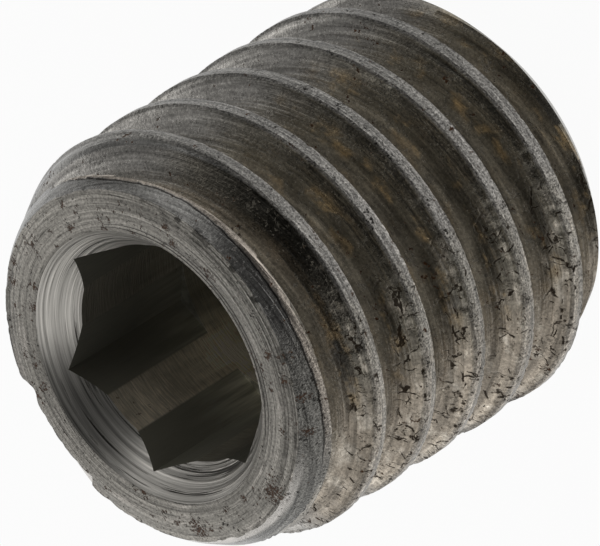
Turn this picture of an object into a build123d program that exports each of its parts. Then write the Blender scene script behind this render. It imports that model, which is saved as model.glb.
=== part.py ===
from build123d import *

import os
from math import ceil, cos, radians, tan

# Restrictor screw: a short headless screw with a hexagon socket, turned, drilled, broached
# and threaded from one bar of plain steel. It stands on its rear end, with the axis along +Z
# and the socket facing up. The origin is the middle of the rear face. Sizes are in mm, angles
# in degrees.

# Overall size and thread: M6 x 1, right-handed, cut over the whole length
screw_length = 6.2
crest_diameter = 5.9
thread_pitch = 1.0
thread_angle = 60.0
crest_width = 0.17
root_width = 0.15
thread_start_angle = 26.4

# Chamfers: length along the axis, and slope from the axis
front_chamfer_length = 0.87
front_chamfer_angle = 27.0
rear_chamfer_length = 0.55
rear_chamfer_angle = 45.0

# Socket: a hexagon broached over a drilled pilot bore, with a countersunk mouth
across_flats = 3.03
hexagon_depth = 2.45
countersink_margin = 0.185
countersink_angle = 82.0
pilot_oversize = 0.05
pilot_reach = 0.95
drill_point_angle = 118.0

# Restricting bore through the web under the socket
orifice_diameter = 1.0

crest_radius = crest_diameter / 2
corner_radius = across_flats / 2 / cos(radians(30))
pilot_radius = (across_flats + pilot_oversize) / 2
orifice_radius = orifice_diameter / 2


def narrowing(length, angle_from_axis):
    """Loss of radius along a cone of this length and slope."""
    return length * tan(radians(angle_from_axis))


def cone_length(wide_radius, narrow_radius, included_angle):
    """Length along the axis in which a cone narrows from one radius to the other."""
    return (wide_radius - narrow_radius) / tan(radians(included_angle / 2))


def turned_blank():
    """The bar after turning and drilling: one half section spun about the axis."""
    front_face_radius = crest_radius - narrowing(front_chamfer_length, front_chamfer_angle)
    rear_face_radius = crest_radius - narrowing(rear_chamfer_length, rear_chamfer_angle)
    countersink_radius = corner_radius + countersink_margin
    pilot_top = screw_length - cone_length(countersink_radius, pilot_radius, countersink_angle)
    pilot_bottom = screw_length - hexagon_depth - pilot_reach
    orifice_top = pilot_bottom - cone_length(pilot_radius, orifice_radius, drill_point_angle)
    half_section = Polyline(
        (orifice_radius, 0, 0),
        (rear_face_radius, 0, 0),
        (crest_radius, 0, rear_chamfer_length),
        (crest_radius, 0, screw_length - front_chamfer_length),
        (front_face_radius, 0, screw_length),
        (countersink_radius, 0, screw_length),
        (pilot_radius, 0, pilot_top),
        (pilot_radius, 0, pilot_bottom),
        (orifice_radius, 0, orifice_top),
        close=True,
    )
    return revolve(make_face(half_section), Axis.Z)


def broached_hexagon():
    """The hexagonal prism that the broach takes out, with corners on the X axis."""
    outline = RegularPolygon(across_flats / 2, 6, major_radius=False)
    return Pos(0, 0, screw_length) * extrude(outline, -hexagon_depth)


def groove_half_turns():
    """The V groove of the thread in half turns, each starting where the last one ends.

    The chain starts and ends half a pitch outside the screw, so both ends run out.
    """
    flank_slope = tan(radians(thread_angle / 2))
    groove_width = thread_pitch - crest_width
    root_radius = crest_radius - (groove_width - root_width) / (2 * flank_slope)
    overcut = thread_pitch / 20
    outer_radius = crest_radius + overcut
    outer_width = groove_width + 2 * overcut * flank_slope
    half_pitch = thread_pitch / 2
    cut_section = Polyline(
        (root_radius, 0, -root_width / 2),
        (outer_radius, 0, -outer_width / 2),
        (outer_radius, 0, outer_width / 2),
        (root_radius, 0, root_width / 2),
        close=True,
    )
    half_turn_path = Helix(thread_pitch, half_pitch, root_radius)
    half_turn = sweep(make_face(cut_section), path=half_turn_path, is_frenet=True)
    first_angle = thread_start_angle - 180
    half_turn_count = ceil(screw_length / half_pitch) + 2
    return [
        Pos(0, 0, (index - 1) * half_pitch) * Rot(0, 0, first_angle + 180 * index) * half_turn
        for index in range(half_turn_count)
    ]


screw_body = turned_blank()
for groove_piece in groove_half_turns():
    screw_body -= groove_piece
screw_body -= broached_hexagon()

os.makedirs("parts", exist_ok=True)
export_step(screw_body, "parts/screw_body.step")
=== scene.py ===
"""Looks of a restrictor screw: a short hexagon-socket screw in plain, lightly rusted steel.

The screw stands on its rear end on a white table. One watertight piece is built around the
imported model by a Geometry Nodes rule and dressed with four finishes. All rules work in
millimetres on the screw's own axis; the mesh itself is in metres, in the shared frame.
"""

import logging
import math
from dataclasses import dataclass, fields, replace
from enum import Enum
from typing import Union

import bpy
from mathutils import Matrix, Vector


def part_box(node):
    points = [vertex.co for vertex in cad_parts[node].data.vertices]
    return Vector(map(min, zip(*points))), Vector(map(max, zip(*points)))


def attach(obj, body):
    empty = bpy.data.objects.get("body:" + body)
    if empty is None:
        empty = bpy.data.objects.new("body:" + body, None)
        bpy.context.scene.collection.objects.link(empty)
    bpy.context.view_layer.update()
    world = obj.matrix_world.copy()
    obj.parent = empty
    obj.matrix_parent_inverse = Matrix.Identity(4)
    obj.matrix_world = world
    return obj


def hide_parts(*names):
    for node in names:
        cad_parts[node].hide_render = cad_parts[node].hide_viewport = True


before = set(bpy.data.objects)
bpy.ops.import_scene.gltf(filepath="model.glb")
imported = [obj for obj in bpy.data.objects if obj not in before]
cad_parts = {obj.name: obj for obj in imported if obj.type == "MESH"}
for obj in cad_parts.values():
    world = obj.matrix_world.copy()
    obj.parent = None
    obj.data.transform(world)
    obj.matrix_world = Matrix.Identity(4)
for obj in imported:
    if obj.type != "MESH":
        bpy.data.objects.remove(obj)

LOG = logging.getLogger("restrictor_screw")
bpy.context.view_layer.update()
MM = 0.001
FULL_TURN = 2 * math.pi
SEED_STRIDE = 31.7
WELD_DISTANCE = 2e-4

Tree = bpy.types.NodeTree
Socket = bpy.types.NodeSocket
Colour = tuple[float, float, float]
Span = tuple[float, float]


class Formula:
    """An output of a node tree that takes part in arithmetic, so that rules read as formulas."""

    def __init__(self, tree: Tree, socket: Socket) -> None:
        """Takes the node tree and the socket that puts out the value."""
        self.tree = tree
        self.socket = socket

    def __add__(self, other: "Operand") -> "Formula":
        """Sum."""
        return calculate("ADD", self, other)

    def __radd__(self, other: "Operand") -> "Formula":
        """Sum with a plain number in front."""
        return calculate("ADD", other, self)

    def __sub__(self, other: "Operand") -> "Formula":
        """Difference."""
        return calculate("SUBTRACT", self, other)

    def __rsub__(self, other: "Operand") -> "Formula":
        """Difference from a plain number."""
        return calculate("SUBTRACT", other, self)

    def __mul__(self, other: "Operand") -> "Formula":
        """Product."""
        return calculate("MULTIPLY", self, other)

    def __rmul__(self, other: "Operand") -> "Formula":
        """Product with a plain number in front."""
        return calculate("MULTIPLY", other, self)

    def __truediv__(self, other: "Operand") -> "Formula":
        """Quotient."""
        return calculate("DIVIDE", self, other)

    def __rtruediv__(self, other: "Operand") -> "Formula":
        """Quotient with a plain number on top."""
        return calculate("DIVIDE", other, self)


Operand = Union[float, Formula]


def connect(tree: Tree, value: Operand, target: Socket) -> None:
    """Links a formula to an input, or writes a plain number into it.

    Args:
        tree: The node tree that holds the input.
        value: A formula of the same tree, or a number.
        target: The input to fill.
    """
    if isinstance(value, Formula):
        tree.links.new(value.socket, target)
    else:
        target.default_value = value


def calculate(operation: str, *operands: Operand) -> Formula:
    """Adds a Math node.

    Args:
        operation: The node's operation, such as ADD.
        operands: One to three operands, at least one of them a formula.

    Returns:
        The result as a formula.
    """
    tree = next(operand.tree for operand in operands if isinstance(operand, Formula))
    node = tree.nodes.new("ShaderNodeMath")
    node.operation = operation
    for operand, target in zip(operands, node.inputs):
        connect(tree, operand, target)
    return Formula(tree, node.outputs[0])


def smallest(first: Operand, second: Operand) -> Formula:
    """The smaller of two values."""
    return calculate("MINIMUM", first, second)


def largest(first: Operand, second: Operand) -> Formula:
    """The larger of two values."""
    return calculate("MAXIMUM", first, second)


def clipped(value: Formula, low: Operand = 0.0, high: Operand = 1.0) -> Formula:
    """The value held between two limits."""
    return smallest(largest(value, low), high)


def ramp(value: Formula, start: Operand, end: Operand) -> Formula:
    """A smooth step between 0 and 1.

    Args:
        value: The value that the step runs along.
        start: Where the step is 0. It may be larger than the end.
        end: Where the step is 1.

    Returns:
        The step as a formula, held at 0 and 1 outside its ends.
    """
    node = value.tree.nodes.new("ShaderNodeMapRange")
    node.interpolation_type = "SMOOTHSTEP"
    for name, operand in (("Value", value), ("From Min", start), ("From Max", end)):
        connect(value.tree, operand, node.inputs[name])
    return Formula(value.tree, node.outputs[0])


def bump_at(value: Formula, centre: Operand, half_width: Operand) -> Formula:
    """A smooth hill of height 1 at the centre that reaches 0 at the half width."""
    return ramp(calculate("ABSOLUTE", value - centre), half_width, 0.0)


def between(low: Operand, high: Operand, share: Formula) -> Formula:
    """The value that lies the given share of the way from low to high."""
    return low + (high - low) * share


def varied(value: Formula, amount: float) -> Formula:
    """A factor about 1 that follows a value between 0 and 1, up and down by an amount."""
    return between(1.0 - amount, 1.0 + amount, value)


def vector_of(first: Operand, second: Operand, third: Operand) -> Formula:
    """Joins three values into a vector.

    Args:
        first: Value along X.
        second: Value along Y.
        third: Value along Z. At least one of the three is a formula.

    Returns:
        The vector as a formula.
    """
    tree = next(part.tree for part in (first, second, third) if isinstance(part, Formula))
    node = tree.nodes.new("ShaderNodeCombineXYZ")
    for part, target in zip((first, second, third), node.inputs):
        connect(tree, part, target)
    return Formula(tree, node.outputs[0])


def parts_of(vector: Formula) -> tuple[Formula, Formula, Formula]:
    """Splits a vector.

    Args:
        vector: The vector as a formula.

    Returns:
        Its values along X, Y and Z.
    """
    node = vector.tree.nodes.new("ShaderNodeSeparateXYZ")
    vector.tree.links.new(vector.socket, node.inputs[0])
    return tuple(Formula(vector.tree, output) for output in node.outputs)


def noise(vector: Formula, scale: Operand, seed: Operand, detail: float = 2.0,
          roughness: float = 0.5) -> Formula:
    """Adds a noise, read at a place of its own for each seed.

    Args:
        vector: The place that the noise is read at.
        scale: Features per unit of the vector.
        seed: A fixed number, so that two noises differ.
        detail: Number of finer octaves.
        roughness: Strength of each octave against the one before.

    Returns:
        A value between 0 and 1 with its middle at 0.5.
    """
    tree = vector.tree
    place = tree.nodes.new("ShaderNodeVectorMath")
    away = seed * SEED_STRIDE
    connect(tree, vector, place.inputs[0])
    connect(tree, away if isinstance(away, Formula) else (away, away, away), place.inputs[1])
    node = tree.nodes.new("ShaderNodeTexNoise")
    tree.links.new(place.outputs[0], node.inputs["Vector"])
    connect(tree, scale, node.inputs["Scale"])
    node.inputs["Detail"].default_value = detail
    node.inputs["Roughness"].default_value = roughness
    return Formula(tree, node.outputs[0])


def new_group(name: str, kind: str, inputs: dict[str, float], outputs: dict[str, str]
              ) -> tuple[Tree, dict[str, Formula], bpy.types.Node]:
    """Starts a node group with named sockets.

    Args:
        name: Name of the group.
        kind: ShaderNodeTree or GeometryNodeTree.
        inputs: Names and starting values of the number inputs.
        outputs: Names and socket types of the outputs.

    Returns:
        The tree, its inputs as formulas by name, and its output node.
    """
    tree = bpy.data.node_groups.new(name, kind)
    for label, value in inputs.items():
        socket = tree.interface.new_socket(label, in_out="INPUT", socket_type="NodeSocketFloat")
        socket.default_value = value
    for label, socket_type in outputs.items():
        tree.interface.new_socket(label, in_out="OUTPUT", socket_type=socket_type)
    entry = tree.nodes.new("NodeGroupInput")
    formulas = {label: Formula(tree, entry.outputs[label]) for label in inputs}
    return tree, formulas, tree.nodes.new("NodeGroupOutput")


@dataclass(frozen=True)
class ThreadRule:
    """Sizes of the threaded outside in millimetres, and the rules that follow from them.

    Each size may be a number, as in the finishes, or an input of a node tree, as in the mesh.
    """

    length: Operand = 6.2
    crest_radius: Operand = 2.95
    pitch: Operand = 1.0
    crest_width: Operand = 0.17
    root_width: Operand = 0.15
    start_angle: Operand = math.radians(26.4)
    front_face_radius: Operand = 2.95 - 0.87 * math.tan(math.radians(27))
    front_slope: Operand = math.tan(math.radians(27))
    rear_face_radius: Operand = 2.4
    rear_slope: Operand = 1.0
    flank_slope: Operand = math.tan(math.radians(30))

    def groove_height(self, angle: Formula, turn: Operand) -> Formula:
        """Height of the groove's middle at an angle, in the turn with this number."""
        return self.pitch * (turn + (angle - self.start_angle) / FULL_TURN)

    def groove_offset(self, angle: Formula, height: Formula) -> Formula:
        """Height above the middle of the nearest groove, from minus to plus half a pitch."""
        turns = height / self.pitch - (angle - self.start_angle) / FULL_TURN
        return (turns - calculate("ROUND", turns)) * self.pitch

    def groove_depth_below_face(self, height: Formula, offset: Formula) -> Formula:
        """How far below the front face the nearest groove's middle lies."""
        return self.length - height + offset

    def groove_radius(self, offset: Formula, root_width: Operand, crest_width: Operand) -> Formula:
        """Radius of the thread's profile.

        Args:
            offset: Height above the groove's middle.
            root_width: Width of the groove's bottom.
            crest_width: Width of the crest between two grooves.

        Returns:
            The distance from the axis.
        """
        outwards = (calculate("ABSOLUTE", offset) - root_width / 2) / self.flank_slope
        groove_width = self.pitch - crest_width
        depth = (groove_width - root_width) / (2 * self.flank_slope)
        return self.crest_radius - depth + clipped(outwards, 0.0, depth)

    def front_cone(self, height: Formula) -> Formula:
        """Radius of the front chamfer's cone."""
        return self.front_face_radius + (self.length - height) * self.front_slope

    def rear_cone(self, height: Formula) -> Formula:
        """Radius of the rear chamfer's cone."""
        return self.rear_face_radius + height * self.rear_slope


@dataclass(frozen=True)
class RolledEdge:
    """The folded edge where the first groove meets the front chamfer, in millimetres.

    Places along the groove are given as the depth of its middle below the front face. A span
    says where something starts to change and where it has changed in full. Offsets and rises
    are along the axis, from the groove's middle.
    """

    lowest_offset: float = -0.11
    fold_rise: float = 0.27
    run_out_rise: float = 0.30
    widening_rise: float = 0.07
    crease_gap: float = 0.055
    crease_rise: float = 0.05
    run_out: Span = (0.20, 0.05)
    fold: Span = (0.24, 0.40)
    widening: Span = (0.48, 0.62)
    lip_rise: Span = (0.28, 0.36)
    lip_fall: Span = (0.74, 0.62)
    crease_fall: Span = (0.90, 0.82)
    face_fade: Span = (0.02, 0.08)
    end_fade: Span = (0.92, 0.80)
    ledge_rise: Span = (0.68, 0.76)
    ledge_fall: Span = (0.96, 0.90)
    lip_height: float = 0.022
    lip_width: float = 0.03
    ledge_drop: float = 0.05
    fray: float = 0.05
    softness: float = 0.012
    crease_softness: float = 0.008
    crease_widening: Span = (0.45, 0.52)
    crease_run_out: Span = (0.74, 0.80)

    def edge_offset(self, depth: Formula) -> Formula:
        """Offset of the groove's visible front edge, where the fold hangs over the groove.

        Args:
            depth: Place along the groove.

        Returns:
            The edge's height above the groove's middle.
        """
        run_out = self.run_out_rise * ramp(depth, *self.run_out)
        fold = self.lowest_offset + self.fold_rise * ramp(depth, *self.fold)
        return fold + run_out + self.widening_rise * ramp(depth, *self.widening)

    def crease_offset(self, depth: Formula) -> Formula:
        """Offset of the crease in front of the raised lip.

        Args:
            depth: Place along the groove.

        Returns:
            The crease's height above the groove's middle.
        """
        widening = self.crease_rise * ramp(depth, *self.crease_widening)
        widening = widening + self.crease_rise * ramp(depth, *self.crease_run_out)
        return self.edge_offset(depth) + self.crease_gap + widening

    def lip_share(self, depth: Formula) -> Formula:
        """Where the raised lip stands: 1 along it, 0 before and after."""
        return ramp(depth, *self.lip_rise) * ramp(depth, *self.lip_fall)

    def crease_share(self, depth: Formula) -> Formula:
        """Where the crease runs: 1 along it, 0 before and after."""
        return ramp(depth, *self.lip_rise) * ramp(depth, *self.crease_fall)

    def edge_share(self, depth: Formula) -> Formula:
        """Where the edge takes the place of the thread's own profile: 1 along it, 0 elsewhere."""
        return ramp(depth, *self.end_fade) * ramp(depth, *self.face_fade)


@dataclass(frozen=True)
class Wear:
    """Frayed crest edges, chips, waves and nicks of the outside, in millimetres and radians.

    A span of noise says from where to where in a noise between 0 and 1 the damage grows.
    """

    fray: float = 0.04
    front_fray: float = 0.06
    frayed_offsets: Span = (0.28, 0.42)
    smooth_side: float = math.radians(335)
    smooth_cosines: Span = (0.25, 0.75)
    smoothing: float = 0.75
    run_out_depths: Span = (0.10, -0.05)
    run_out_widening: float = 0.26
    outside_radii: Span = (2.0, 2.2)
    wave_depth: float = 0.012
    crest_depths: Span = (0.12, 0.03)
    chip_depth: float = 0.035
    chip_noise: Span = (0.60, 0.80)
    rim_height: float = 0.05
    rim_radii: Span = (2.2, 2.3)
    nick_depth: float = 0.03
    nick_noise: Span = (0.45, 0.70)
    rounded_height: float = 0.20
    rounded_radii: Span = (2.25, 2.52)
    rim_rounding: float = 0.05
    notch_angle: float = math.radians(64)
    notch_reach: float = math.radians(6)
    notch_heights: Span = (6.0, 6.17)
    notch_depth: float = 0.10


@dataclass(frozen=True)
class SocketSizes:
    """Sizes of the holes in millimetres: countersink, hexagon, pilot bore and restricting bore."""

    across_flats: Operand = 3.03
    hexagon_depth: Operand = 2.45
    countersink_radius: Operand = 3.03 / 2 / math.cos(math.radians(30)) + 0.185
    countersink_slope: Operand = math.tan(math.radians(41))
    pilot_radius: Operand = 1.54
    pilot_reach: Operand = 0.95
    drill_point_slope: Operand = math.tan(math.radians(59))
    orifice_radius: Operand = 0.5

    def mouth_radius(self, angle: Formula) -> Formula:
        """Radius of the hexagon, or of the pilot bore where that is wider.

        Args:
            angle: Angle about the axis.

        Returns:
            The distance from the axis.
        """
        sixth = FULL_TURN / 6
        corner_angle = calculate("FLOORED_MODULO", angle, sixth) - sixth / 2
        flat = (self.across_flats / 2) / calculate("COSINE", corner_angle)
        return largest(flat, self.pilot_radius)


class Section(Enum):
    """The stretches of the screw's skin, named as a turner would name them."""

    BARREL = "barrel"
    FACE = "face"
    COUNTERSINK = "countersink"
    SOCKET = "socket"


SECTION_ATTRIBUTE = "section"


def section_number(section: Section) -> float:
    """Number that the mesh rule stores on the faces of a section."""
    return float(list(Section).index(section))


def label_of(field_name: str) -> str:
    """Name of the input that carries a size."""
    return field_name.replace("_", " ").title()


def position(tree: Tree) -> Formula:
    """The place of each vertex in a Geometry Nodes tree."""
    return Formula(tree, tree.nodes.new("GeometryNodeInputPosition").outputs[0])


def around_axis(angle: Formula, radius: Operand, height: Operand) -> Formula:
    """The point at an angle, radius and height about the screw's axis."""
    return vector_of(radius * calculate("COSINE", angle), radius * calculate("SINE", angle), height)


def grid_mesh(tree: Tree, columns: Operand, rows: Operand) -> Socket:
    """Adds a grid that is a full turn long in X and 1 long in Y.

    Args:
        tree: The rule's tree.
        columns: Number of faces in X.
        rows: Number of faces in Y.

    Returns:
        The geometry socket of the grid.
    """
    grid = tree.nodes.new("GeometryNodeMeshGrid")
    values = (FULL_TURN, 1.0, columns + 1, rows + 1)
    for value, name in zip(values, ("Size X", "Size Y", "Vertices X", "Vertices Y")):
        connect(tree, value, grid.inputs[name])
    return grid.outputs["Mesh"]


def moved(tree: Tree, mesh: Socket, place: Formula) -> Socket:
    """Moves the vertices of a mesh.

    Args:
        tree: The rule's tree.
        mesh: The geometry to move.
        place: The new place of each vertex.

    Returns:
        The geometry socket of the moved mesh.
    """
    node = tree.nodes.new("GeometryNodeSetPosition")
    tree.links.new(mesh, node.inputs["Geometry"])
    connect(tree, place, node.inputs["Position"])
    return node.outputs[0]


def numbered(tree: Tree, mesh: Socket, number: Operand) -> Socket:
    """Stores a section's number on the faces of a strip.

    Args:
        tree: The rule's tree.
        mesh: The strip.
        number: The section's number, or the input that carries it.

    Returns:
        The geometry socket of the numbered strip.
    """
    store = tree.nodes.new("GeometryNodeStoreNamedAttribute")
    store.data_type = "INT"
    store.domain = "FACE"
    store.inputs["Name"].default_value = SECTION_ATTRIBUTE
    tree.links.new(mesh, store.inputs["Geometry"])
    connect(tree, number if isinstance(number, Formula) else int(number), store.inputs["Value"])
    return store.outputs[0]


def ring_strip_tree() -> Tree:
    """Builds the group that makes a strip of rings between two rings about the axis.

    Returns:
        The group. Its radii and heights may differ with the angle, which is the grid's X.
    """
    labels = ("Columns", "Rows", "Start Radius", "Start Height", "End Radius", "End Height", "Number")
    tree, values, out = new_group(
        "ring_strip", "GeometryNodeTree", dict.fromkeys(labels, 1.0), {"Strip": "NodeSocketGeometry"}
    )
    grid = grid_mesh(tree, values["Columns"], values["Rows"])
    angle, along, _ = parts_of(position(tree))
    share = along + 0.5
    radius = between(values["Start Radius"], values["End Radius"], share)
    height = between(values["Start Height"], values["End Height"], share)
    strip = moved(tree, grid, around_axis(angle, radius, height))
    tree.links.new(numbered(tree, strip, values["Number"]), out.inputs[0])
    return tree


@dataclass(frozen=True)
class ScrewBody:
    """The whole screw as one closed mesh, made by a Geometry Nodes rule.

    It has a finish for each section, a number of columns around the axis, and rows of faces
    along each stretch of the thread's profile.
    """

    finishes: dict[Section, bpy.types.Material]
    sizes: ThreadRule
    inside: SocketSizes = SocketSizes()
    edge: RolledEdge = RolledEdge()
    worn: Wear = Wear()
    seed: float = 7.0
    columns: int = 480
    root_rows: int = 2
    rear_flank_rows: int = 12
    crest_rows: int = 4
    front_flank_rows: int = 7
    sharp_angle: float = math.radians(38)

    def build(self) -> bpy.types.Object:
        """Runs the rule and returns the finished piece.

        Returns:
            The piece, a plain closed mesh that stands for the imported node.
        """
        body = bpy.data.objects.new("screw_skin", bpy.data.meshes.new("screw_seed"))
        bpy.context.scene.collection.objects.link(body)
        tree = self.skin_tree()
        modifier = body.modifiers.new("screw_skin", "NODES")
        modifier.node_group = tree
        values = self.input_values()
        for item in tree.interface.items_tree:
            if item.in_out == "INPUT" and item.name in values:
                modifier[item.identifier] = values[item.name]
        evaluated = body.evaluated_get(bpy.context.evaluated_depsgraph_get())
        body.data = bpy.data.meshes.new_from_object(evaluated)
        # The rule leaves an empty first slot that no face uses.
        body.data.materials.pop(index=0)
        body.modifiers.clear()
        body.data.name = body.name
        return body

    def input_values(self) -> dict[str, float]:
        """Gathers the inputs of the rule.

        Returns:
            Every input's value by name.
        """
        values = {"Columns": float(self.columns), "Seed": self.seed}
        for sizes in (self.sizes, self.inside):
            values.update({label_of(f.name): float(getattr(sizes, f.name)) for f in fields(sizes)})
        return values

    def skin_tree(self) -> Tree:
        """Builds the rule as a Geometry Nodes tree.

        Returns:
            The tree: eight ring strips and the barrel, joined, welded, worn and given finishes.
        """
        tree, values, out = new_group(
            "screw_skin", "GeometryNodeTree", self.input_values(), {"Skin": "NodeSocketGeometry"}
        )
        rule, inside = (
            replace(sizes, **{f.name: values[label_of(f.name)] for f in fields(sizes)})
            for sizes in (self.sizes, self.inside)
        )
        angle = parts_of(position(tree))[0]
        seed = values["Seed"]

        rim = self.barrel_radius(rule, angle, rule.length, seed)
        rear_rim = self.barrel_radius(rule, angle, 0.0 * rule.length, seed)
        mouth = inside.mouth_radius(angle)
        mouth_height = rule.length - (inside.countersink_radius - mouth) / inside.countersink_slope
        hexagon_end = rule.length - inside.hexagon_depth
        pilot_end = hexagon_end - inside.pilot_reach
        drill_point = (inside.pilot_radius - inside.orifice_radius) / inside.drill_point_slope
        orifice_top = pilot_end - drill_point
        # Each row is a stretch of the profile, from the last ring to one of this radius and height.
        stretches = (
            (Section.FACE, 6, inside.countersink_radius, rule.length),
            (Section.COUNTERSINK, 16, mouth, mouth_height),
            (Section.SOCKET, 10, mouth, hexagon_end),
            (Section.SOCKET, 1, inside.pilot_radius, hexagon_end),
            (Section.SOCKET, 4, inside.pilot_radius, pilot_end),
            (Section.SOCKET, 3, inside.orifice_radius, orifice_top),
            (Section.SOCKET, 2, inside.orifice_radius, 0.0),
            (Section.FACE, 5, rear_rim, 0.0),
        )
        ring = (rim, rule.length)
        strip_tree = ring_strip_tree()
        join = tree.nodes.new("GeometryNodeJoinGeometry")
        tree.links.new(self.barrel(tree, rule, values), join.inputs[0])
        for section, rows, *next_ring in stretches:
            strip = tree.nodes.new("GeometryNodeGroup")
            strip.node_tree = strip_tree
            sizes = (values["Columns"], float(rows), *ring, *next_ring, section_number(section))
            for value, socket in zip(sizes, strip.inputs):
                connect(tree, value, socket)
            tree.links.new(strip.outputs[0], join.inputs[0])
            ring = next_ring

        weld = tree.nodes.new("GeometryNodeMergeByDistance")
        weld.inputs["Distance"].default_value = WELD_DISTANCE
        tree.links.new(join.outputs[0], weld.inputs["Geometry"])
        worn = self.chipped(tree, weld.outputs[0], rule, seed)
        tree.links.new(self.dressed(tree, worn), out.inputs[0])
        return tree

    def barrel(self, tree: Tree, rule: ThreadRule, values: dict[str, Formula]) -> Socket:
        """Makes the threaded outside, whose rows follow the thread's own helix.

        Args:
            tree: The rule's tree.
            rule: The sizes as inputs of the tree.
            values: All inputs of the tree by name.

        Returns:
            The geometry socket of the barrel.
        """
        flank = (rule.pitch - rule.crest_width - rule.root_width) / 2
        profile = (
            (self.root_rows, rule.root_width),
            (self.rear_flank_rows, flank),
            (self.crest_rows, rule.crest_width),
            (self.front_flank_rows, flank),
        )
        rows_per_turn = sum(rows for rows, _ in profile)
        turns = math.ceil(self.sizes.length / self.sizes.pitch) + 1
        grid = grid_mesh(tree, values["Columns"], turns * rows_per_turn)
        angle, along, _ = parts_of(position(tree))
        row = calculate("ROUND", (along + 0.5) * (turns * rows_per_turn))
        turn = calculate("FLOOR", row / rows_per_turn)
        step = row - turn * rows_per_turn
        offset = -1.0 * rule.root_width / 2
        first_row = 0
        for rows, rise in profile:
            offset = offset + rise * clipped((step - first_row) / rows)
            first_row += rows
        height = clipped(rule.groove_height(angle, turn - 1.0) + offset, 0.0, rule.length)
        radius = self.barrel_radius(rule, angle, height, values["Seed"])
        skin = moved(tree, grid, around_axis(angle, radius, height))
        return numbered(tree, skin, section_number(Section.BARREL))

    def barrel_radius(self, rule: ThreadRule, angle: Formula, height: Formula, seed: Operand
                      ) -> Formula:
        """Radius of the outside: thread, chamfers, ragged crest edges and the rolled edge.

        Args:
            rule: The sizes as inputs of the tree.
            angle: Angle about the axis.
            height: Height above the rear face.
            seed: The fixed seed of the ragged edges.

        Returns:
            The radius in millimetres.
        """
        edge, worn = self.edge, self.worn
        spot = around_axis(angle, rule.crest_radius, height)
        ragged = noise(spot, 7.0, seed, detail=3.0, roughness=0.6) - 0.5
        straight = rule.groove_offset(angle, height)
        depth = rule.groove_depth_below_face(height, straight)
        side = calculate("ABSOLUTE", straight)
        front_side = calculate("LESS_THAN", straight, 0.0)
        near_crest = ramp(side, *worn.frayed_offsets)
        smooth = ramp(calculate("COSINE", angle - worn.smooth_side), *worn.smooth_cosines)
        fray = (worn.fray + worn.front_fray * front_side) * (1.0 - worn.smoothing * smooth)
        frayed = side + near_crest * ragged * fray
        run_out = front_side * ramp(depth, *worn.run_out_depths)
        root_width = rule.root_width + worn.run_out_widening * run_out
        thread = rule.groove_radius(frayed, root_width, rule.crest_width)
        cone = rule.front_cone(height)
        radius = smallest(smallest(thread, cone), rule.rear_cone(height))

        offset = straight + edge.fray * ragged
        edge_line = edge.edge_offset(depth)
        beyond = ramp(offset, edge_line - edge.softness, edge_line + edge.softness)
        folded = beyond * edge.edge_share(depth)
        radius = between(radius, smallest(cone, rule.crest_radius), folded)
        crease = edge.crease_offset(depth)
        behind = ramp(offset, crease + edge.crease_softness, crease - edge.crease_softness)
        rise = ramp(offset, edge_line - edge.lip_width, crease) * edge.lip_share(depth)
        ledge = behind * beyond * ramp(depth, *edge.ledge_rise) * ramp(depth, *edge.ledge_fall)
        radius = radius + edge.lip_height * rise * behind - edge.ledge_drop * ledge
        notch = bump_at(angle, worn.notch_angle, worn.notch_reach) * ramp(height, *worn.notch_heights)
        return smallest(radius - worn.notch_depth * notch, rule.crest_radius)

    def chipped(self, tree: Tree, mesh: Socket, rule: ThreadRule, seed: Operand) -> Socket:
        """Chips the crests and rims and brings the skin from millimetres to metres.

        Args:
            tree: The rule's tree.
            mesh: The welded skin.
            rule: The sizes as inputs of the tree.
            seed: The fixed seed of the chips.

        Returns:
            The geometry socket of the worn skin.
        """
        worn = self.worn
        spot = position(tree)
        x, y, height = parts_of(spot)
        radius = calculate("SQRT", x * x + y * y)
        outside = ramp(radius, *worn.outside_radii)
        crest = ramp(radius, *(rule.crest_radius - depth for depth in worn.crest_depths))
        rim = ramp(height, rule.length - worn.rim_height, rule.length)
        rim = rim * ramp(radius, *worn.rim_radii)
        chips = ramp(noise(spot, 4.2, seed + 1.0, detail=3.0, roughness=0.6), *worn.chip_noise)
        waves = noise(spot, 1.3, seed + 2.0, detail=1.0)
        nicks = noise(spot, 4.5, seed + 3.0, detail=3.0, roughness=0.6)
        loss = outside * (worn.wave_depth * waves + worn.chip_depth * crest * chips)
        loss = loss + worn.nick_depth * rim * ramp(nicks, *worn.nick_noise)
        share = (radius - loss) / radius
        rounding = ramp(height, rule.length - worn.rounded_height, rule.length)
        rounding = rounding * ramp(radius, *worn.rounded_radii)
        height = height - worn.rim_rounding * rounding
        return moved(tree, mesh, vector_of(x * share * MM, y * share * MM, height * MM))

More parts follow.
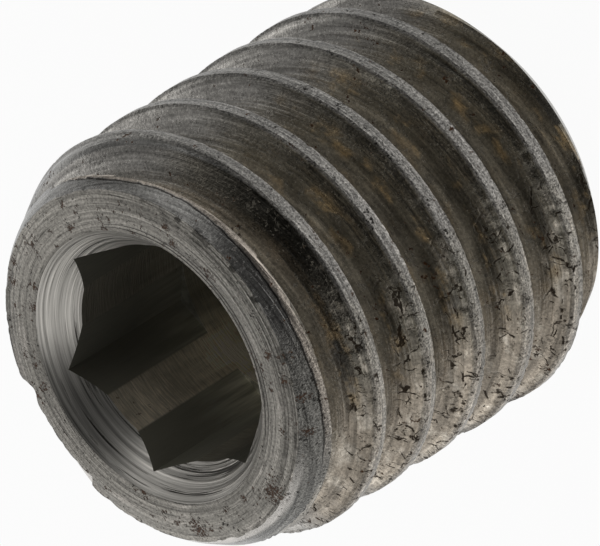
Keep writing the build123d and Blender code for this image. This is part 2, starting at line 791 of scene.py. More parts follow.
    def dressed(self, tree: Tree, mesh: Socket) -> Socket:
        """Smooths the skin, keeps its sharp edges and gives each section its finish.

        Args:
            tree: The rule's tree.
            mesh: The worn skin.

        Returns:
            The geometry socket of the finished skin.
        """
        edge_angle = tree.nodes.new("GeometryNodeInputMeshEdgeAngle")
        sharp = calculate("GREATER_THAN", Formula(tree, edge_angle.outputs[0]), self.sharp_angle)
        smooth = tree.nodes.new("GeometryNodeSetShadeSmooth")
        smooth.domain = "FACE"
        tree.links.new(mesh, smooth.inputs["Geometry"])
        creased = tree.nodes.new("GeometryNodeSetShadeSmooth")
        creased.domain = "EDGE"
        creased.inputs["Shade Smooth"].default_value = False
        tree.links.new(smooth.outputs[0], creased.inputs["Geometry"])
        connect(tree, sharp, creased.inputs["Selection"])
        realized = tree.nodes.new("GeometryNodeRealizeInstances")
        tree.links.new(creased.outputs[0], realized.inputs[0])
        number = tree.nodes.new("GeometryNodeInputNamedAttribute")
        number.data_type = "INT"
        number.inputs["Name"].default_value = SECTION_ATTRIBUTE
        stored = Formula(tree, number.outputs[0])
        last = realized.outputs[0]
        # The first finish goes on every face, and each later one on its own section's faces.
        everywhere = 1.0
        for section, finish in self.finishes.items():
            chosen = calculate("COMPARE", stored, section_number(section), 0.5)
            dress = tree.nodes.new("GeometryNodeSetMaterial")
            dress.inputs["Material"].default_value = finish
            tree.links.new(last, dress.inputs["Geometry"])
            connect(tree, largest(chosen, everywhere), dress.inputs["Selection"])
            everywhere = 0.0
            last = dress.outputs[0]
        return last


# Lengths in millimetres first, then masks.
PLACE_OUTPUTS = ("Radius", "Offset", "Depth", "Crest", "Cone", "Crease", "Lip", "Bevel",
                 "Stained", "Oiled", "Torn", "Clean")


def mixed(first: Union[Colour, Formula], second: Union[Colour, Formula], share: Formula) -> Formula:
    """Mixes two colours.

    Args:
        first: The colour where the share is 0.
        second: The colour where the share is 1.
        share: The mask.

    Returns:
        The mixed colour as a formula.
    """
    tree = share.tree
    node = tree.nodes.new("ShaderNodeMix")
    node.data_type = "RGBA"
    sockets = {socket.identifier: socket for socket in node.inputs}
    connect(tree, share, sockets["Factor_Float"])
    for colour, name in ((first, "A_Color"), (second, "B_Color")):
        if isinstance(colour, Formula):
            tree.links.new(colour.socket, sockets[name])
        else:
            sockets[name].default_value = (*colour, 1.0)
    result = next(socket for socket in node.outputs if socket.identifier == "Result_Color")
    return Formula(tree, result)


def tinted(colour: Formula, shade: Formula) -> Formula:
    """Makes a colour lighter or darker.

    Args:
        colour: The colour.
        shade: The factor on it.

    Returns:
        The shaded colour as a formula.
    """
    node = colour.tree.nodes.new("ShaderNodeVectorMath")
    node.operation = "SCALE"
    colour.tree.links.new(colour.socket, node.inputs[0])
    connect(colour.tree, shade, node.inputs["Scale"])
    return Formula(colour.tree, node.outputs[0])


def contrasted(value: Formula, gain: float) -> Formula:
    """A noise pulled apart about its middle, held between 0 and 1."""
    return clipped(0.5 + gain * (value - 0.5))


def millimetres(tree: Tree) -> Formula:
    """Adds the Object coordinates.

    Args:
        tree: The node tree of a finish or an effect.

    Returns:
        The place on the piece in millimetres.
    """
    place = tree.nodes.new("ShaderNodeTexCoord")
    scale = tree.nodes.new("ShaderNodeVectorMath")
    scale.operation = "SCALE"
    tree.links.new(place.outputs["Object"], scale.inputs[0])
    scale.inputs["Scale"].default_value = 1 / MM
    return Formula(tree, scale.outputs[0])


class Side(Enum):
    """Sides of the screw in degrees: the middle, then where a mask is 0 and where it is 1."""

    STAINED = (232, 76, 58)
    OILED = (262, 56, 30)
    TORN = (202, 50, 34)
    CLEAN = (330, 70, 30)
    # Side where the front bevel carries a painted highlight.
    BEVELLED = (140, 72, 40)
    SCORED = (262, 70, 40)
    # Side of the countersink that carries a painted dark reflection.
    FILMED = (78, 40, 16)
    # Sides of the socket's painted shade, and between them its painted light.
    SHADED = (30, 60, 30)
    BACK_SHADED = (150, 32, 16)
    LIT = (112, 50, 20)

    def share(self, x: Formula, y: Formula, radius: Formula) -> Formula:
        """Mask of this side.

        Args:
            x: Place across the axis.
            y: Place across the axis, square to x.
            radius: Distance from the axis.

        Returns:
            1 on the side, falling smoothly to 0 beside it.
        """
        centre, none, full = (math.radians(angle) for angle in self.value)
        facing = (math.cos(centre) * x + math.sin(centre) * y) / radius
        return ramp(facing, math.cos(none), math.cos(full))


@dataclass(frozen=True)
class RustSpot:
    """A rust spot of the front end: angle in degrees, radius and size in millimetres."""

    angle: float
    radius: float
    size: float


RUST_SPOTS = (
    RustSpot(187, 2.35, 0.22),
    RustSpot(145, 2.31, 0.18),
    RustSpot(18, 2.42, 0.09),
    RustSpot(25, 2.36, 0.12),
    RustSpot(30, 1.95, 0.12),
    RustSpot(21, 2.00, 0.07),
    RustSpot(342, 2.38, 0.08),
    RustSpot(343, 2.06, 0.09),
    RustSpot(296, 2.26, 0.08),
    RustSpot(292, 2.10, 0.08),
    RustSpot(55, 2.10, 0.07),
    RustSpot(174, 2.10, 0.08),
    RustSpot(240, 2.26, 0.09),
    RustSpot(231, 2.38, 0.10),
    RustSpot(225, 2.56, 0.08),
    RustSpot(214, 2.56, 0.09),
)


def mask_group(name: str, **inputs: float) -> tuple[Tree, dict[str, Formula], Socket]:
    """Starts an effect group with one output.

    Args:
        name: Name of the group.
        inputs: Its inputs with their starting values.

    Returns:
        The tree, its inputs as formulas by name, and the socket that takes the mask.
    """
    tree, values, out = new_group(name, "ShaderNodeTree", inputs, {"Mask": "NodeSocketFloat"})
    return tree, values, out.inputs["Mask"]


class EffectGroups:
    """The shader node groups of the finishes, each built once and placed where it is needed."""

    CRACK_REACH = (0.038, 0.015)

    def __init__(self) -> None:
        """Builds all groups."""
        self.place = self.build_place()
        self.lines = self.build_lines()
        self.specks = self.build_specks()
        self.patches = self.build_patches()
        self.tears = self.build_tears()
        self.rust_spots = self.build_rust_spots()

    def build_place(self) -> Tree:
        """Builds the group that tells where on the screw a point lies.

        Returns:
            The group. Its outputs are lengths in millimetres and masks.
        """
        outputs = dict.fromkeys(PLACE_OUTPUTS, "NodeSocketFloat")
        tree, _, out = new_group("place_on_screw", "ShaderNodeTree", {}, outputs)
        spot = millimetres(tree)
        x, y, height = parts_of(spot)
        rule, edge = ThreadRule(), RolledEdge()
        radius = calculate("SQRT", x * x + y * y)
        angle = calculate("ARCTAN2", y, x)
        offset = rule.groove_offset(angle, height)
        depth = rule.groove_depth_below_face(height, offset)
        crest = ramp(radius, rule.crest_radius - 0.07, rule.crest_radius - 0.03)
        off_cone = calculate("ABSOLUTE", radius - rule.front_cone(height))
        cone = ramp(off_cone, 0.07, 0.04) * ramp(height, rule.length - 1.0, rule.length - 0.9)
        crease_line = edge.crease_offset(depth)
        waver = 0.03 * (noise(spot, 5.0, 2.0, detail=3.0, roughness=0.6) - 0.5)
        # Mask of the crease, where a painted shadow line goes.
        crease = bump_at(offset + waver, crease_line + 0.012, 0.014) * edge.crease_share(depth)
        behind = ramp(offset + waver, crease_line + 0.006, crease_line - 0.006)
        edge_line = edge.edge_offset(depth)
        lip = behind * edge.lip_share(depth) * ramp(offset, edge_line - 0.04, edge_line)
        near_top = ramp(height, rule.length - 0.22, rule.length - 0.16) * ramp(offset, 0.0, -0.05)
        # A painted highlight along the front bevel, on one side only.
        bevel_highlight = near_top * ramp(rule.front_cone(height) - radius, 0.004, 0.02)
        bevel_highlight = bevel_highlight * Side.BEVELLED.share(x, y, radius)
        lengths = (radius, offset, depth)
        masks = (crest, cone, crease, lip, bevel_highlight)
        sides = (Side.STAINED, Side.OILED, Side.TORN, Side.CLEAN)
        shares = (side.share(x, y, radius) for side in sides)
        for name, value in zip(PLACE_OUTPUTS, (*lengths, *masks, *shares)):
            connect(tree, value, out.inputs[name])
        return tree

    def build_lines(self) -> Tree:
        """Builds the group that draws tool lines around the axis.

        Returns:
            The group, which puts out the lines as a value between 0 and 1.
        """
        tree, values, out = mask_group("tool_lines", Across=0.0, Spacing=0.05, Breaks=0.35, Seed=0.0)
        x, y, _ = parts_of(millimetres(tree))
        breaks = values["Breaks"]
        spot = vector_of(x * breaks, y * breaks, values["Across"] / values["Spacing"])
        lines = noise(spot, 1.0, values["Seed"], detail=3.0, roughness=0.62)
        connect(tree, contrasted(lines, 2.2), out)
        return tree

    def build_specks(self) -> Tree:
        """Builds the group that scatters ragged specks in clusters.

        Returns:
            The group, which puts out a mask.
        """
        tree, values, out = mask_group("specks", Size=0.1, Amount=0.3, Seed=0.0)
        spot = millimetres(tree)
        grain = noise(spot, 1.0 / values["Size"], values["Seed"], detail=4.0, roughness=0.68)
        cluster = noise(spot, 0.22 / values["Size"], values["Seed"] + 5.0, detail=1.0)
        level = grain + 0.45 * (cluster - 0.5)
        threshold = 0.86 - 0.5 * values["Amount"]
        connect(tree, ramp(level, threshold, threshold + 0.06), out)
        return tree

    def build_patches(self) -> Tree:
        """Builds the group that lays soft patches drawn out around the axis.

        Returns:
            The group, which puts out a mask.
        """
        tree, values, out = mask_group("patches", Across=0.0, Size=0.5, Amount=0.5, Seed=0.0)
        x, y, _ = parts_of(millimetres(tree))
        spot = vector_of(x * 0.9, y * 0.9, values["Across"] * 3.0)
        level = noise(spot, 1.0 / values["Size"], values["Seed"], detail=4.0, roughness=0.62)
        threshold = 0.80 - 0.5 * values["Amount"]
        connect(tree, ramp(level, threshold, threshold + 0.20), out)
        return tree

    def build_tears(self) -> Tree:
        """Builds the group that draws short branching cracks along the axis.

        Returns:
            The group, which puts out a mask.
        """
        tree, values, out = mask_group("tears", Size=0.3, Amount=0.4, Seed=0.0)
        spot = millimetres(tree)
        x, y, z = parts_of(spot)
        sway = 0.16 * (noise(spot, 6.0, values["Seed"], detail=3.0) - 0.5)
        lean = 0.30 * (noise(spot, 3.5, values["Seed"] + 1.0, detail=3.0) - 0.5)
        cells = tree.nodes.new("ShaderNodeTexVoronoi")
        cells.feature = "DISTANCE_TO_EDGE"
        connect(tree, vector_of(x + lean, y - lean, 0.38 * z + sway), cells.inputs["Vector"])
        connect(tree, 1.0 / values["Size"], cells.inputs["Scale"])
        ragged = 0.07 * (noise(spot, 17.0, values["Seed"] + 2.0, detail=3.0, roughness=0.7) - 0.5)
        cracks = ramp(Formula(tree, cells.outputs["Distance"]) + ragged, *self.CRACK_REACH)
        gate = noise(spot, 5.5, values["Seed"] + 3.0)
        threshold = 0.8 - 0.5 * values["Amount"]
        connect(tree, cracks * ramp(gate, threshold, threshold + 0.06), out)
        return tree

    def build_rust_spots(self) -> Tree:
        """Builds the group that draws the rust spots of the front end, each at its place.

        Returns:
            The group, which puts out a mask.
        """
        tree, _, out = mask_group("rust_spots")
        spot = millimetres(tree)
        x, y, height = parts_of(spot)
        nearness = 0.0
        for rust in RUST_SPOTS:
            turn = math.radians(rust.angle)
            across, along = x - rust.radius * math.cos(turn), y - rust.radius * math.sin(turn)
            away = calculate("SQRT", across * across + along * along)
            nearness = largest(nearness, 1.0 - away / rust.size)
        frayed = 0.9 * nearness + 4.2 * (noise(spot, 32.0, 41.0, detail=3.0, roughness=0.7) - 0.5)
        mask = ramp(frayed, 0.42, 0.60) * ramp(nearness, 0.0, 0.15) * ramp(height, 5.8, 5.9)
        connect(tree, mask, out)
        return tree


def effect(tree: Tree, group: Tree, **values: Operand) -> dict[str, Formula]:
    """Places an effect group in a finish.

    Args:
        tree: The finish's node tree.
        group: The effect group.
        values: Its inputs by name in lower case.

    Returns:
        Its outputs as formulas by name.
    """
    node = tree.nodes.new("ShaderNodeGroup")
    node.node_tree = group
    for name, value in values.items():
        connect(tree, value, node.inputs[name.title()])
    return {socket.name: Formula(tree, socket) for socket in node.outputs}


def mask_of(tree: Tree, group: Tree, **values: Operand) -> Formula:
    """The one output of an effect group, placed in a finish with these inputs."""
    return next(iter(effect(tree, group, **values).values()))


@dataclass(frozen=True)
class Surface:
    """What a finish gives its shader: a colour, two values and a height in millimetres."""

    colour: Formula
    roughness: Formula
    metal: Formula
    height: Formula


@dataclass(frozen=True)
class Finish:
    """A steel finish. Each kind says how its surface varies."""

    effects: EffectGroups
    name: str
    steel: Colour
    rust: Colour = (0.125, 0.052, 0.018)
    dark_rust: Colour = (0.035, 0.020, 0.012)
    soot: Colour = (0.020, 0.017, 0.014)

    def grain(self, tree: Tree, seed: float, scale: float = 26.0) -> Formula:
        """Fine noise of the metal, with this many features in a millimetre."""
        return noise(millimetres(tree), scale, seed, detail=3.0, roughness=0.65)

    def rusted(self, colour: Formula, share: Formula) -> Formula:
        """The colour with flecked rust over a share of it."""
        flecks = contrasted(self.grain(share.tree, 44.0, scale=34.0), 3.0)
        return mixed(colour, mixed(self.dark_rust, self.rust, flecks), share)

    def surface(self, tree: Tree) -> Surface:
        """Adds the nodes of the surface; each kind of finish has its own."""
        raise NotImplementedError

    def material(self) -> bpy.types.Material:
        """Builds the finish.

        Returns:
            A material whose Principled shader is fed by the surface.
        """
        material = bpy.data.materials.new(self.name)
        material.use_nodes = True
        tree = material.node_tree
        shader = tree.nodes["Principled BSDF"]
        surface = self.surface(tree)
        fed = {"Base Color": surface.colour, "Roughness": surface.roughness, "Metallic": surface.metal}
        for name, value in fed.items():
            connect(tree, value, shader.inputs[name])
        relief = tree.nodes.new("ShaderNodeBump")
        relief.inputs["Distance"].default_value = MM
        connect(tree, surface.height, relief.inputs["Height"])
        tree.links.new(relief.outputs[0], shader.inputs["Normal"])
        return material


@dataclass(frozen=True)
class BarrelFinish(Finish):
    """Thread and chamfers: stained flanks, pale ragged crests and a mottled chamfer, with painted
    shade, reflection and highlight.

    The spans of offsets are heights above the groove's middle, and those of depths lie below
    the front face. Each says where a finish starts and where it is there in full.
    """

    name: str = "threaded_barrel"
    steel: Colour = (0.310, 0.297, 0.275)
    warm_steel: Colour = (0.340, 0.296, 0.240)
    oiled_steel: Colour = (0.225, 0.208, 0.172)
    crest_steel: Colour = (0.274, 0.262, 0.243)
    dull_crest_steel: Colour = (0.193, 0.186, 0.172)
    chamfer_steel: Colour = (0.185, 0.181, 0.171)
    fouled_steel: Colour = (0.145, 0.141, 0.129)
    lip_steel: Colour = (0.36, 0.32, 0.275)
    root_steel: Colour = (0.31, 0.292, 0.258)
    bright_steel: Colour = (0.64, 0.61, 0.57)
    cream: Colour = (0.54, 0.49, 0.415)
    amber: Colour = (0.46, 0.345, 0.200)
    crack: Colour = (0.040, 0.028, 0.018)
    blued: Colour = (0.070, 0.071, 0.074)
    painted_shade_offset: float = -0.23
    painted_shade_reach: float = 0.14
    amber_offsets: Span = (-0.38, -0.24)
    amber_depths: Span = (0.50, 0.66)
    root_offsets: Span = (-0.22, -0.12)
    torn_offsets: Span = (-0.18, -0.26)

    def surface(self, tree: Tree) -> Surface:
        """Adds the colour, roughness, metal and relief of the barrel.

        Args:
            tree: The finish's node tree.

        Returns:
            The surface as formulas.
        """
        kit = self.effects
        place = effect(tree, kit.place)
        crest, cone, offset = place["Crest"], place["Cone"], place["Offset"]
        torn_side, oiled, clean = place["Torn"], place["Oiled"], place["Clean"]
        across = offset + place["Depth"] * 0.37
        lines = mask_of(tree, kit.lines, across=across, spacing=0.045, seed=1.0)
        amber = mask_of(tree, kit.patches, across=across, size=0.5, amount=0.60, seed=2.0)
        cream = mask_of(tree, kit.patches, across=across, size=0.35, amount=0.60, seed=9.0)
        blued = mask_of(tree, kit.patches, across=across, size=0.7, amount=0.46, seed=8.0)
        rusty = mask_of(tree, kit.specks, size=0.09, amount=0.38, seed=3.0)
        pits = mask_of(tree, kit.specks, size=0.045, amount=0.46, seed=6.0)
        tears = mask_of(tree, kit.tears, size=0.42, amount=0.56, seed=5.0)
        fine_tears = mask_of(tree, kit.tears, size=0.22, amount=0.51, seed=25.0)
        spots = mask_of(tree, kit.rust_spots)
        streaks = mask_of(tree, kit.lines, across=across, spacing=0.05, breaks=1.6, seed=4.0)
        grain = self.grain(tree, 9.0)
        salt = contrasted(noise(millimetres(tree), 38.0, 7.0, roughness=0.6), 3.0)

        # Painted shade darkens the middle of the groove. It is weaker on the clean side, and on the
        # torn side where the oiled side doesn't reach.
        flank = mixed(self.steel, self.warm_steel, place["Stained"])
        flank = mixed(flank, self.oiled_steel, oiled)
        # Pale cream patches on the torn side: partly the steel's own tone, partly a painted reflection
        # of the white table.
        flank = mixed(flank, self.cream, cream * torn_side)
        painted_darkening = 0.44 - 0.30 * clean - torn_side * (0.20 - 0.42 * oiled)
        flank = tinted(flank, 1.0 - painted_darkening * bump_at(offset, self.painted_shade_offset, self.painted_shade_reach))
        amber = amber * oiled * ramp(place["Depth"], *self.amber_depths)
        flank = mixed(flank, self.amber, amber * ramp(offset, *self.amber_offsets))
        flank = mixed(flank, self.root_steel, 0.7 * ramp(offset, *self.root_offsets))
        flank = mixed(flank, self.blued, blued * (0.25 + 0.25 * oiled))
        chamfer = mixed(self.chamfer_steel, self.fouled_steel, torn_side)
        chamfer = tinted(chamfer, between(1.0, 1.45, clean * oiled))
        colour = mixed(flank, chamfer, cone)
        crest_colour = mixed(self.crest_steel, self.dull_crest_steel, clean)
        colour = mixed(colour, crest_colour, crest * (1.0 - 0.6 * torn_side))
        colour = mixed(colour, self.lip_steel, place["Lip"])

        # Tool lines and grain go over all of it, then a painted highlight on one side of the front
        # bevel, pits, a painted shadow in the crease, cracks and rust.
        rough_parts = largest(crest, cone * torn_side)
        shade = varied(lines, 0.50) * varied(streaks, 0.35)
        shade = shade * varied(contrasted(grain, 2.0), 0.45)
        shade = shade * between(1.0, varied(salt, 0.55), rough_parts)
        colour = tinted(colour, shade)
        colour = mixed(colour, self.bright_steel, place["Bevel"] * between(0.6, 1.0, streaks))
        pitted = pits * (0.25 + 0.75 * rough_parts)
        # Soot darkens the pits. Along the crease the same dark is a painted shadow.
        colour = mixed(colour, self.soot, clipped(0.85 * pitted + 0.95 * place["Crease"]))
        torn = largest(tears, fine_tears) * torn_side * (1.0 - cone) * ramp(offset, *self.torn_offsets)
        colour = mixed(colour, self.crack, 0.9 * torn)
        rusty = largest(rusty, spots)
        colour = self.rusted(colour, 0.95 * rusty)

        dull = clipped(rusty + torn + pitted)
        roughness = between(0.25, 0.7, dull) + 0.12 * crest + 0.10 * (grain - 0.5)
        height = 0.005 * lines + 0.005 * grain + 0.008 * salt * rough_parts
        height = height - 0.014 * pitted - 0.005 * rusty - 0.022 * torn
        return Surface(colour, roughness, 1.0 - 0.15 * rusty - 0.75 * spots, height)


@dataclass(frozen=True)
class FaceFinish(Finish):
    """The flat ends: turning lines, small pits and rust specks."""

    name: str = "turned_face"
    steel: Colour = (0.230, 0.218, 0.195)
    pale_steel: Colour = (0.315, 0.295, 0.266)
    dull_ring: Span = (2.02, 2.18)
    scored_radii: Span = (1.985, 2.035)
    scored_reach: Span = (0.011, 0.009)

    def surface(self, tree: Tree) -> Surface:
        """Adds the colour, roughness, metal and relief of the faces.

        Args:
            tree: The finish's node tree.

        Returns:
            The surface as formulas.
        """
        kit = self.effects
        radius = effect(tree, kit.place)["Radius"]
        lines = mask_of(tree, kit.lines, across=radius, spacing=0.036, seed=11.0)
        bands = mask_of(tree, kit.lines, across=radius, spacing=0.11, seed=15.0)
        rusty = mask_of(tree, kit.specks, size=0.08, amount=0.46, seed=12.0)
        pits = mask_of(tree, kit.specks, size=0.045, amount=0.40, seed=13.0)
        pale = mask_of(tree, kit.patches, across=radius, size=0.6, amount=0.55, seed=16.0)
        rusty = largest(rusty, mask_of(tree, kit.rust_spots))
        streaks = mask_of(tree, kit.lines, across=radius, spacing=0.04, breaks=2.4, seed=18.0)
        dark_streaks = ramp(streaks, 0.30, 0.12)
        grain = self.grain(tree, 14.0)
        shade = varied(lines, 0.58) * varied(contrasted(grain, 2.0), 0.50)
        shade = shade * varied(bands, 0.20) * (1.0 - 0.5 * dark_streaks)
        shade = shade * between(0.84, 1.0, ramp(radius, *self.dull_ring))
        scored = self.scored(tree, radius, grain)
        colour = tinted(mixed(self.steel, self.pale_steel, pale), shade)
        colour = mixed(colour, self.soot, largest(0.8 * pits, 0.9 * scored))
        colour = self.rusted(colour, 0.9 * rusty)
        roughness = between(0.34, 0.75, clipped(rusty + pits)) + 0.08 * (grain - 0.5)
        height = 0.005 * lines + 0.005 * grain - 0.018 * pits - 0.012 * rusty - 0.015 * scored
        return Surface(colour, roughness, 1.0 - 0.9 * rusty, height)

    def scored(self, tree: Tree, radius: Formula, grain: Formula) -> Formula:
        """Adds two thin scored circles beside the countersink, on one side of the front face.

        Args:
            tree: The finish's node tree.
            radius: Distance from the axis.
            grain: A fine noise that roughens the circles.

        Returns:
            The circles' mask.
        """
        spot = millimetres(tree)
        x, y, _ = parts_of(spot)
        waver = 0.02 * (noise(spot, 1.6, 17.0) - 0.5) + 0.008 * (grain - 0.5)
        inner = bump_at(radius + waver, self.scored_radii[0], self.scored_reach[0])
        outer = 0.8 * bump_at(radius - waver, self.scored_radii[1], self.scored_reach[1])
        return largest(inner, outer) * Side.SCORED.share(x, y, radius)


@dataclass(frozen=True)
class CountersinkFinish(Finish):
    """The countersunk mouth: strong rings from the tool, and a painted dark reflection on one side."""

    name: str = "countersunk_mouth"
    steel: Colour = (0.485, 0.466, 0.430)
    filmed_steel: Colour = (0.27, 0.26, 0.24)
    ring_noise: Span = (0.34, 0.20)

    def surface(self, tree: Tree) -> Surface:
        """Adds the colour, roughness, metal and relief of the countersink.

        Args:
            tree: The finish's node tree.

        Returns:
            The surface as formulas.
        """
        kit = self.effects
        radius = effect(tree, kit.place)["Radius"]
        lines = mask_of(tree, kit.lines, across=radius, spacing=0.030, seed=21.0)
        broad = mask_of(tree, kit.lines, across=radius, spacing=0.06, seed=22.0)
        rings = ramp(broad, *self.ring_noise)
        rusty = mask_of(tree, kit.specks, size=0.09, amount=0.22, seed=23.0)
        x, y, _ = parts_of(millimetres(tree))
        # A painted dark reflection on the countersink wall that faces the camera.
        painted_darkening = Side.FILMED.share(x, y, radius)
        colour = tinted(mixed(self.steel, self.filmed_steel, painted_darkening), varied(lines, 0.60))
        colour = mixed(colour, self.soot, 0.80 * rings)
        colour = self.rusted(colour, 0.8 * rusty)
        height = 0.006 * lines - 0.012 * rings
        return Surface(colour, between(0.38, 0.6, rusty), 1.0 - 0.7 * rusty, height)


@dataclass(frozen=True)
class SocketFinish(Finish):
    """The broached hexagon and the bores: dark, with streaks along the axis, painted light on one side
    and deeper down, and painted shade on the sides beside it.
    """

    name: str = "broached_socket"
    steel: Colour = (0.30, 0.29, 0.24)
    oil: Colour = (0.100, 0.097, 0.078)
    band_steel: Colour = (0.52, 0.46, 0.37)
    bore_reach: Span = (0.010, 0.003)
    clean_heights: Span = (5.2, 3.6)
    painted_light_heights: Span = (4.8, 3.4)

    def surface(self, tree: Tree) -> Surface:
        """Adds the colour, roughness, metal and relief inside the socket.

        Args:
            tree: The finish's node tree.

        Returns:
            The surface as formulas.
        """
        kit = self.effects
        radius = effect(tree, kit.place)["Radius"]
        x, y, z = parts_of(millimetres(tree))
        streaks = noise(vector_of(x * 9.0, y * 9.0, z * 0.8), 1.0, 31.0, detail=3.0, roughness=0.6)
        clouds = noise(vector_of(x, y, z * 0.7), 2.2, 34.0, detail=3.0, roughness=0.6)
        off_bore = calculate("ABSOLUTE", radius - SocketSizes().pilot_radius)
        on_bore = ramp(off_bore, *self.bore_reach)
        marks = mask_of(tree, kit.lines, across=z, spacing=0.035, breaks=3.0, seed=32.0)
        rusty = mask_of(tree, kit.specks, size=0.14, amount=0.30, seed=33.0)
        # Painted shade on two sides of the socket, and painted light between them that grows deeper
        # down.
        painted_shade_side = largest(Side.SHADED.share(x, y, radius), Side.BACK_SHADED.share(x, y, radius))
        painted_lit_side = Side.LIT.share(x, y, radius)
        clean = ramp(streaks, 0.30, 0.75) * ramp(z, *self.clean_heights) * (1.0 - 0.6 * painted_shade_side)
        colour = mixed(self.oil, self.steel, clean)
        band = on_bore * between(0.25, 1.0, marks) * between(0.6, 1.0, ramp(clouds, 0.35, 0.60))
        colour = mixed(colour, self.band_steel, band * (1.0 - 0.8 * painted_shade_side))
        painted_light = between(1.0, 2.0, painted_lit_side) * between(1.0, 1.9, ramp(z, *self.painted_light_heights))
        colour = tinted(colour, painted_light)
        colour = self.rusted(colour, 0.7 * rusty)
        height = 0.010 * streaks * (1.0 - on_bore) + 0.006 * marks * on_bore
        return Surface(colour, between(0.45, 0.7, rusty), 0.25 + 0.25 * on_bore, height)


FINISHES = {
    Section.BARREL: BarrelFinish,
    Section.FACE: FaceFinish,
    Section.COUNTERSINK: CountersinkFinish,
    Section.SOCKET: SocketFinish,
}


@dataclass(frozen=True)
class SoftBox:
    """A soft white lamp: bearing and elevation in degrees, width and height in metres."""

    name: str
    bearing: float
    elevation: float
    width: float
    height: float
    radiance: float


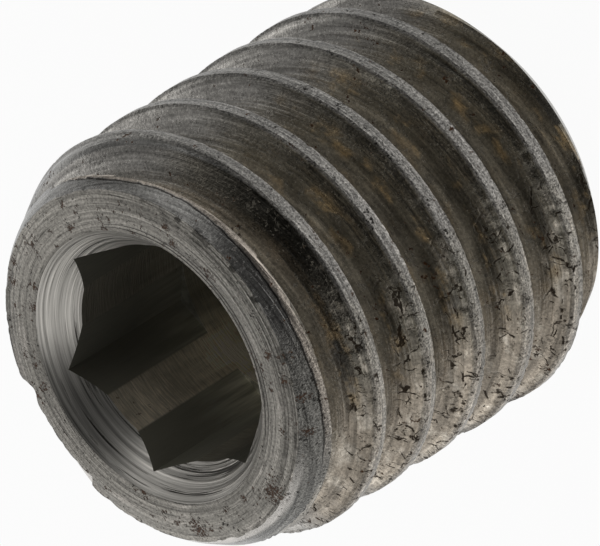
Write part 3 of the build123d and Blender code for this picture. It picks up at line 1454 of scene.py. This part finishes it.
@dataclass(frozen=True)
class Studio:
    """White table, dim room, soft boxes and the camera at the photograph's place.

    Angles are in degrees. Bearings are measured from the camera's own, anticlockwise as seen
    from above. The front face's height and the crest radius are in metres, and the camera's
    distance and shift are in crest radii from the middle of the front face.
    """

    top: float
    crest_radius: float
    camera_bearing: float = -102.37
    camera_tilt: float = 49.67
    camera_roll: float = -122.07
    camera_distance: float = 60.75
    camera_shift: Span = (-0.66312, -0.41449)
    pixels_per_radius: float = 228.42
    image_width: int = 600
    sensor_width: float = 36.0
    table_side: float = 1.2
    table_grey: float = 0.9
    table_roughness: float = 0.9
    backdrop_level: float = 0.95
    wall_level: float = 0.38
    wall_top: Span = (0.965, 0.62)
    wall_lean: float = 0.06
    near_camera: Span = (0.45, 0.85)
    near_camera_level: float = 0.3
    lamp_distance: float = 0.30
    boxes: tuple[SoftBox, ...] = (
        SoftBox("right_box", -92, 34, 0.46, 0.34, 0.42),
        SoftBox("right_back_box", -156, 11, 0.24, 0.18, 0.85),
        SoftBox("back_box", 180, 42, 0.18, 0.16, 0.85),
        SoftBox("left_box", 72, 31, 0.20, 0.14, 0.50),
        SoftBox("left_back_box", 148, 17, 0.14, 0.18, 1.1),
        SoftBox("left_top_box", 104, 53, 0.26, 0.16, 0.13),
    )

    def build(self) -> None:
        """Makes the table, the room, the lamps and the camera."""
        self.table()
        self.room()
        for box in self.boxes:
            self.lamp(box)
        self.camera()
        bpy.context.scene.view_settings.view_transform = "Standard"

    def direction(self, bearing: float, elevation: float) -> Vector:
        """Finds the direction from the screw towards a lamp or the camera.

        Args:
            bearing: Bearing in degrees.
            elevation: Angle above the table in degrees.

        Returns:
            A vector of length 1.
        """
        turn = math.radians(bearing + self.camera_bearing)
        rise = math.radians(elevation)
        level = math.cos(rise)
        return Vector((math.cos(turn) * level, math.sin(turn) * level, math.sin(rise)))

    def table(self) -> None:
        """A white table top that keeps a light shadow."""
        mesh = bpy.data.meshes.new("table")
        side = self.table_side
        corners = [(-side, -side, 0), (side, -side, 0), (side, side, 0), (-side, side, 0)]
        mesh.from_pydata(corners, [], [(0, 1, 2, 3)])
        table = bpy.data.objects.new("table", mesh)
        bpy.context.scene.collection.objects.link(table)
        material = bpy.data.materials.new("white_table")
        material.use_nodes = True
        tree = material.node_tree
        painted = tree.nodes["Principled BSDF"]
        painted.inputs["Base Color"].default_value = (*(self.table_grey,) * 3, 1.0)
        painted.inputs["Roughness"].default_value = self.table_roughness
        glow = tree.nodes.new("ShaderNodeEmission")
        glow.inputs["Strength"].default_value = 1.0
        rays = tree.nodes.new("ShaderNodeLightPath")
        seen = clipped(
            Formula(tree, rays.outputs["Is Camera Ray"])
            + Formula(tree, rays.outputs["Is Glossy Ray"])
            + Formula(tree, rays.outputs["Is Transmission Ray"])
        )
        mix = tree.nodes.new("ShaderNodeMixShader")
        connect(tree, self.backdrop_level * seen, mix.inputs[0])
        tree.links.new(painted.outputs[0], mix.inputs[1])
        tree.links.new(glow.outputs[0], mix.inputs[2])
        tree.links.new(mix.outputs[0], tree.nodes["Material Output"].inputs["Surface"])
        mesh.materials.append(material)

    def room(self) -> None:
        """A grey room, light near the horizon, dark overhead and around the camera."""
        world = bpy.data.worlds.new("room")
        world.use_nodes = True
        bpy.context.scene.world = world
        tree = world.node_tree
        place = tree.nodes.new("ShaderNodeTexCoord")
        x, y, up = parts_of(Formula(tree, place.outputs["Generated"]))
        camera_side, left_side = self.direction(0.0, 0.0), self.direction(90.0, 0.0)
        toward_camera = camera_side.x * x + camera_side.y * y
        toward_left = left_side.x * x + left_side.y * y
        wall = ramp(up + self.wall_lean * toward_left, *self.wall_top)
        near_camera = ramp(toward_camera, *self.near_camera)
        level = between(0.0, self.wall_level, wall) * between(1.0, self.near_camera_level, near_camera)
        connect(tree, level, tree.nodes["Background"].inputs["Strength"])
        tree.nodes["Background"].inputs["Color"].default_value = (1.0, 1.0, 1.0, 1.0)

    def lamp(self, box: SoftBox) -> None:
        """Hangs a soft box so that it faces the screw.

        Args:
            box: The lamp's place, size and strength.
        """
        light = bpy.data.lights.new(box.name, "AREA")
        light.shape = "RECTANGLE"
        light.size = box.width
        light.size_y = box.height
        light.energy = box.radiance * math.pi * box.width * box.height
        lamp = bpy.data.objects.new(box.name, light)
        away = self.direction(box.bearing, box.elevation)
        lamp.location = away * self.lamp_distance + Vector((0.0, 0.0, self.top / 2))
        lamp.rotation_euler = away.to_track_quat("Z", "Y").to_euler()
        bpy.context.scene.collection.objects.link(lamp)

    def camera(self) -> None:
        """Places the camera where the photograph's was."""
        tilt = math.radians(self.camera_tilt)
        roll = math.radians(self.camera_roll)
        toward = self.direction(0.0, 90.0 - self.camera_tilt)
        side = self.direction(90.0, 0.0)
        up = Vector((0.0, 0.0, 1.0)) * math.sin(tilt) - self.direction(0.0, 0.0) * math.cos(tilt)
        right = side * math.cos(roll) + up * math.sin(roll)
        above = up * math.cos(roll) - side * math.sin(roll)
        shift_right, shift_up = self.camera_shift
        place = toward * self.camera_distance - right * shift_right - above * shift_up
        data = bpy.data.cameras.new("camera")
        data.sensor_width = self.sensor_width
        data.sensor_fit = "HORIZONTAL"
        sensor_share = self.pixels_per_radius * self.camera_distance / self.image_width
        data.lens = sensor_share * self.sensor_width
        data.clip_start = 0.01
        camera = bpy.data.objects.new("camera", data)
        turn = Matrix((right, above, toward)).transposed().to_4x4()
        origin = Vector((0.0, 0.0, self.top)) + place * self.crest_radius
        camera.matrix_world = Matrix.Translation(origin) @ turn
        bpy.context.scene.collection.objects.link(camera)
        bpy.context.scene.camera = camera


def main() -> None:
    """Builds the screw, dresses it and sets up the studio."""
    logging.basicConfig(level=logging.INFO, format="%(name)s: %(message)s")
    effects = EffectGroups()
    finishes = {section: finish(effects).material() for section, finish in FINISHES.items()}
    node = "screw_body"
    low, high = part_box(node)
    sizes = ThreadRule(length=(high.z - low.z) / MM, crest_radius=(high.x - low.x) / 2 / MM)
    body = ScrewBody(finishes, sizes).build()
    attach(body, "root")
    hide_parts(node)
    LOG.info("%s: %d vertices, %d faces", body.name, len(body.data.vertices), len(body.data.polygons))
    studio = Studio(high.z, (high.x - low.x) / 2)
    studio.build()
    LOG.info("studio: %d soft boxes", len(studio.boxes))


if __name__ == "__main__":
    main()
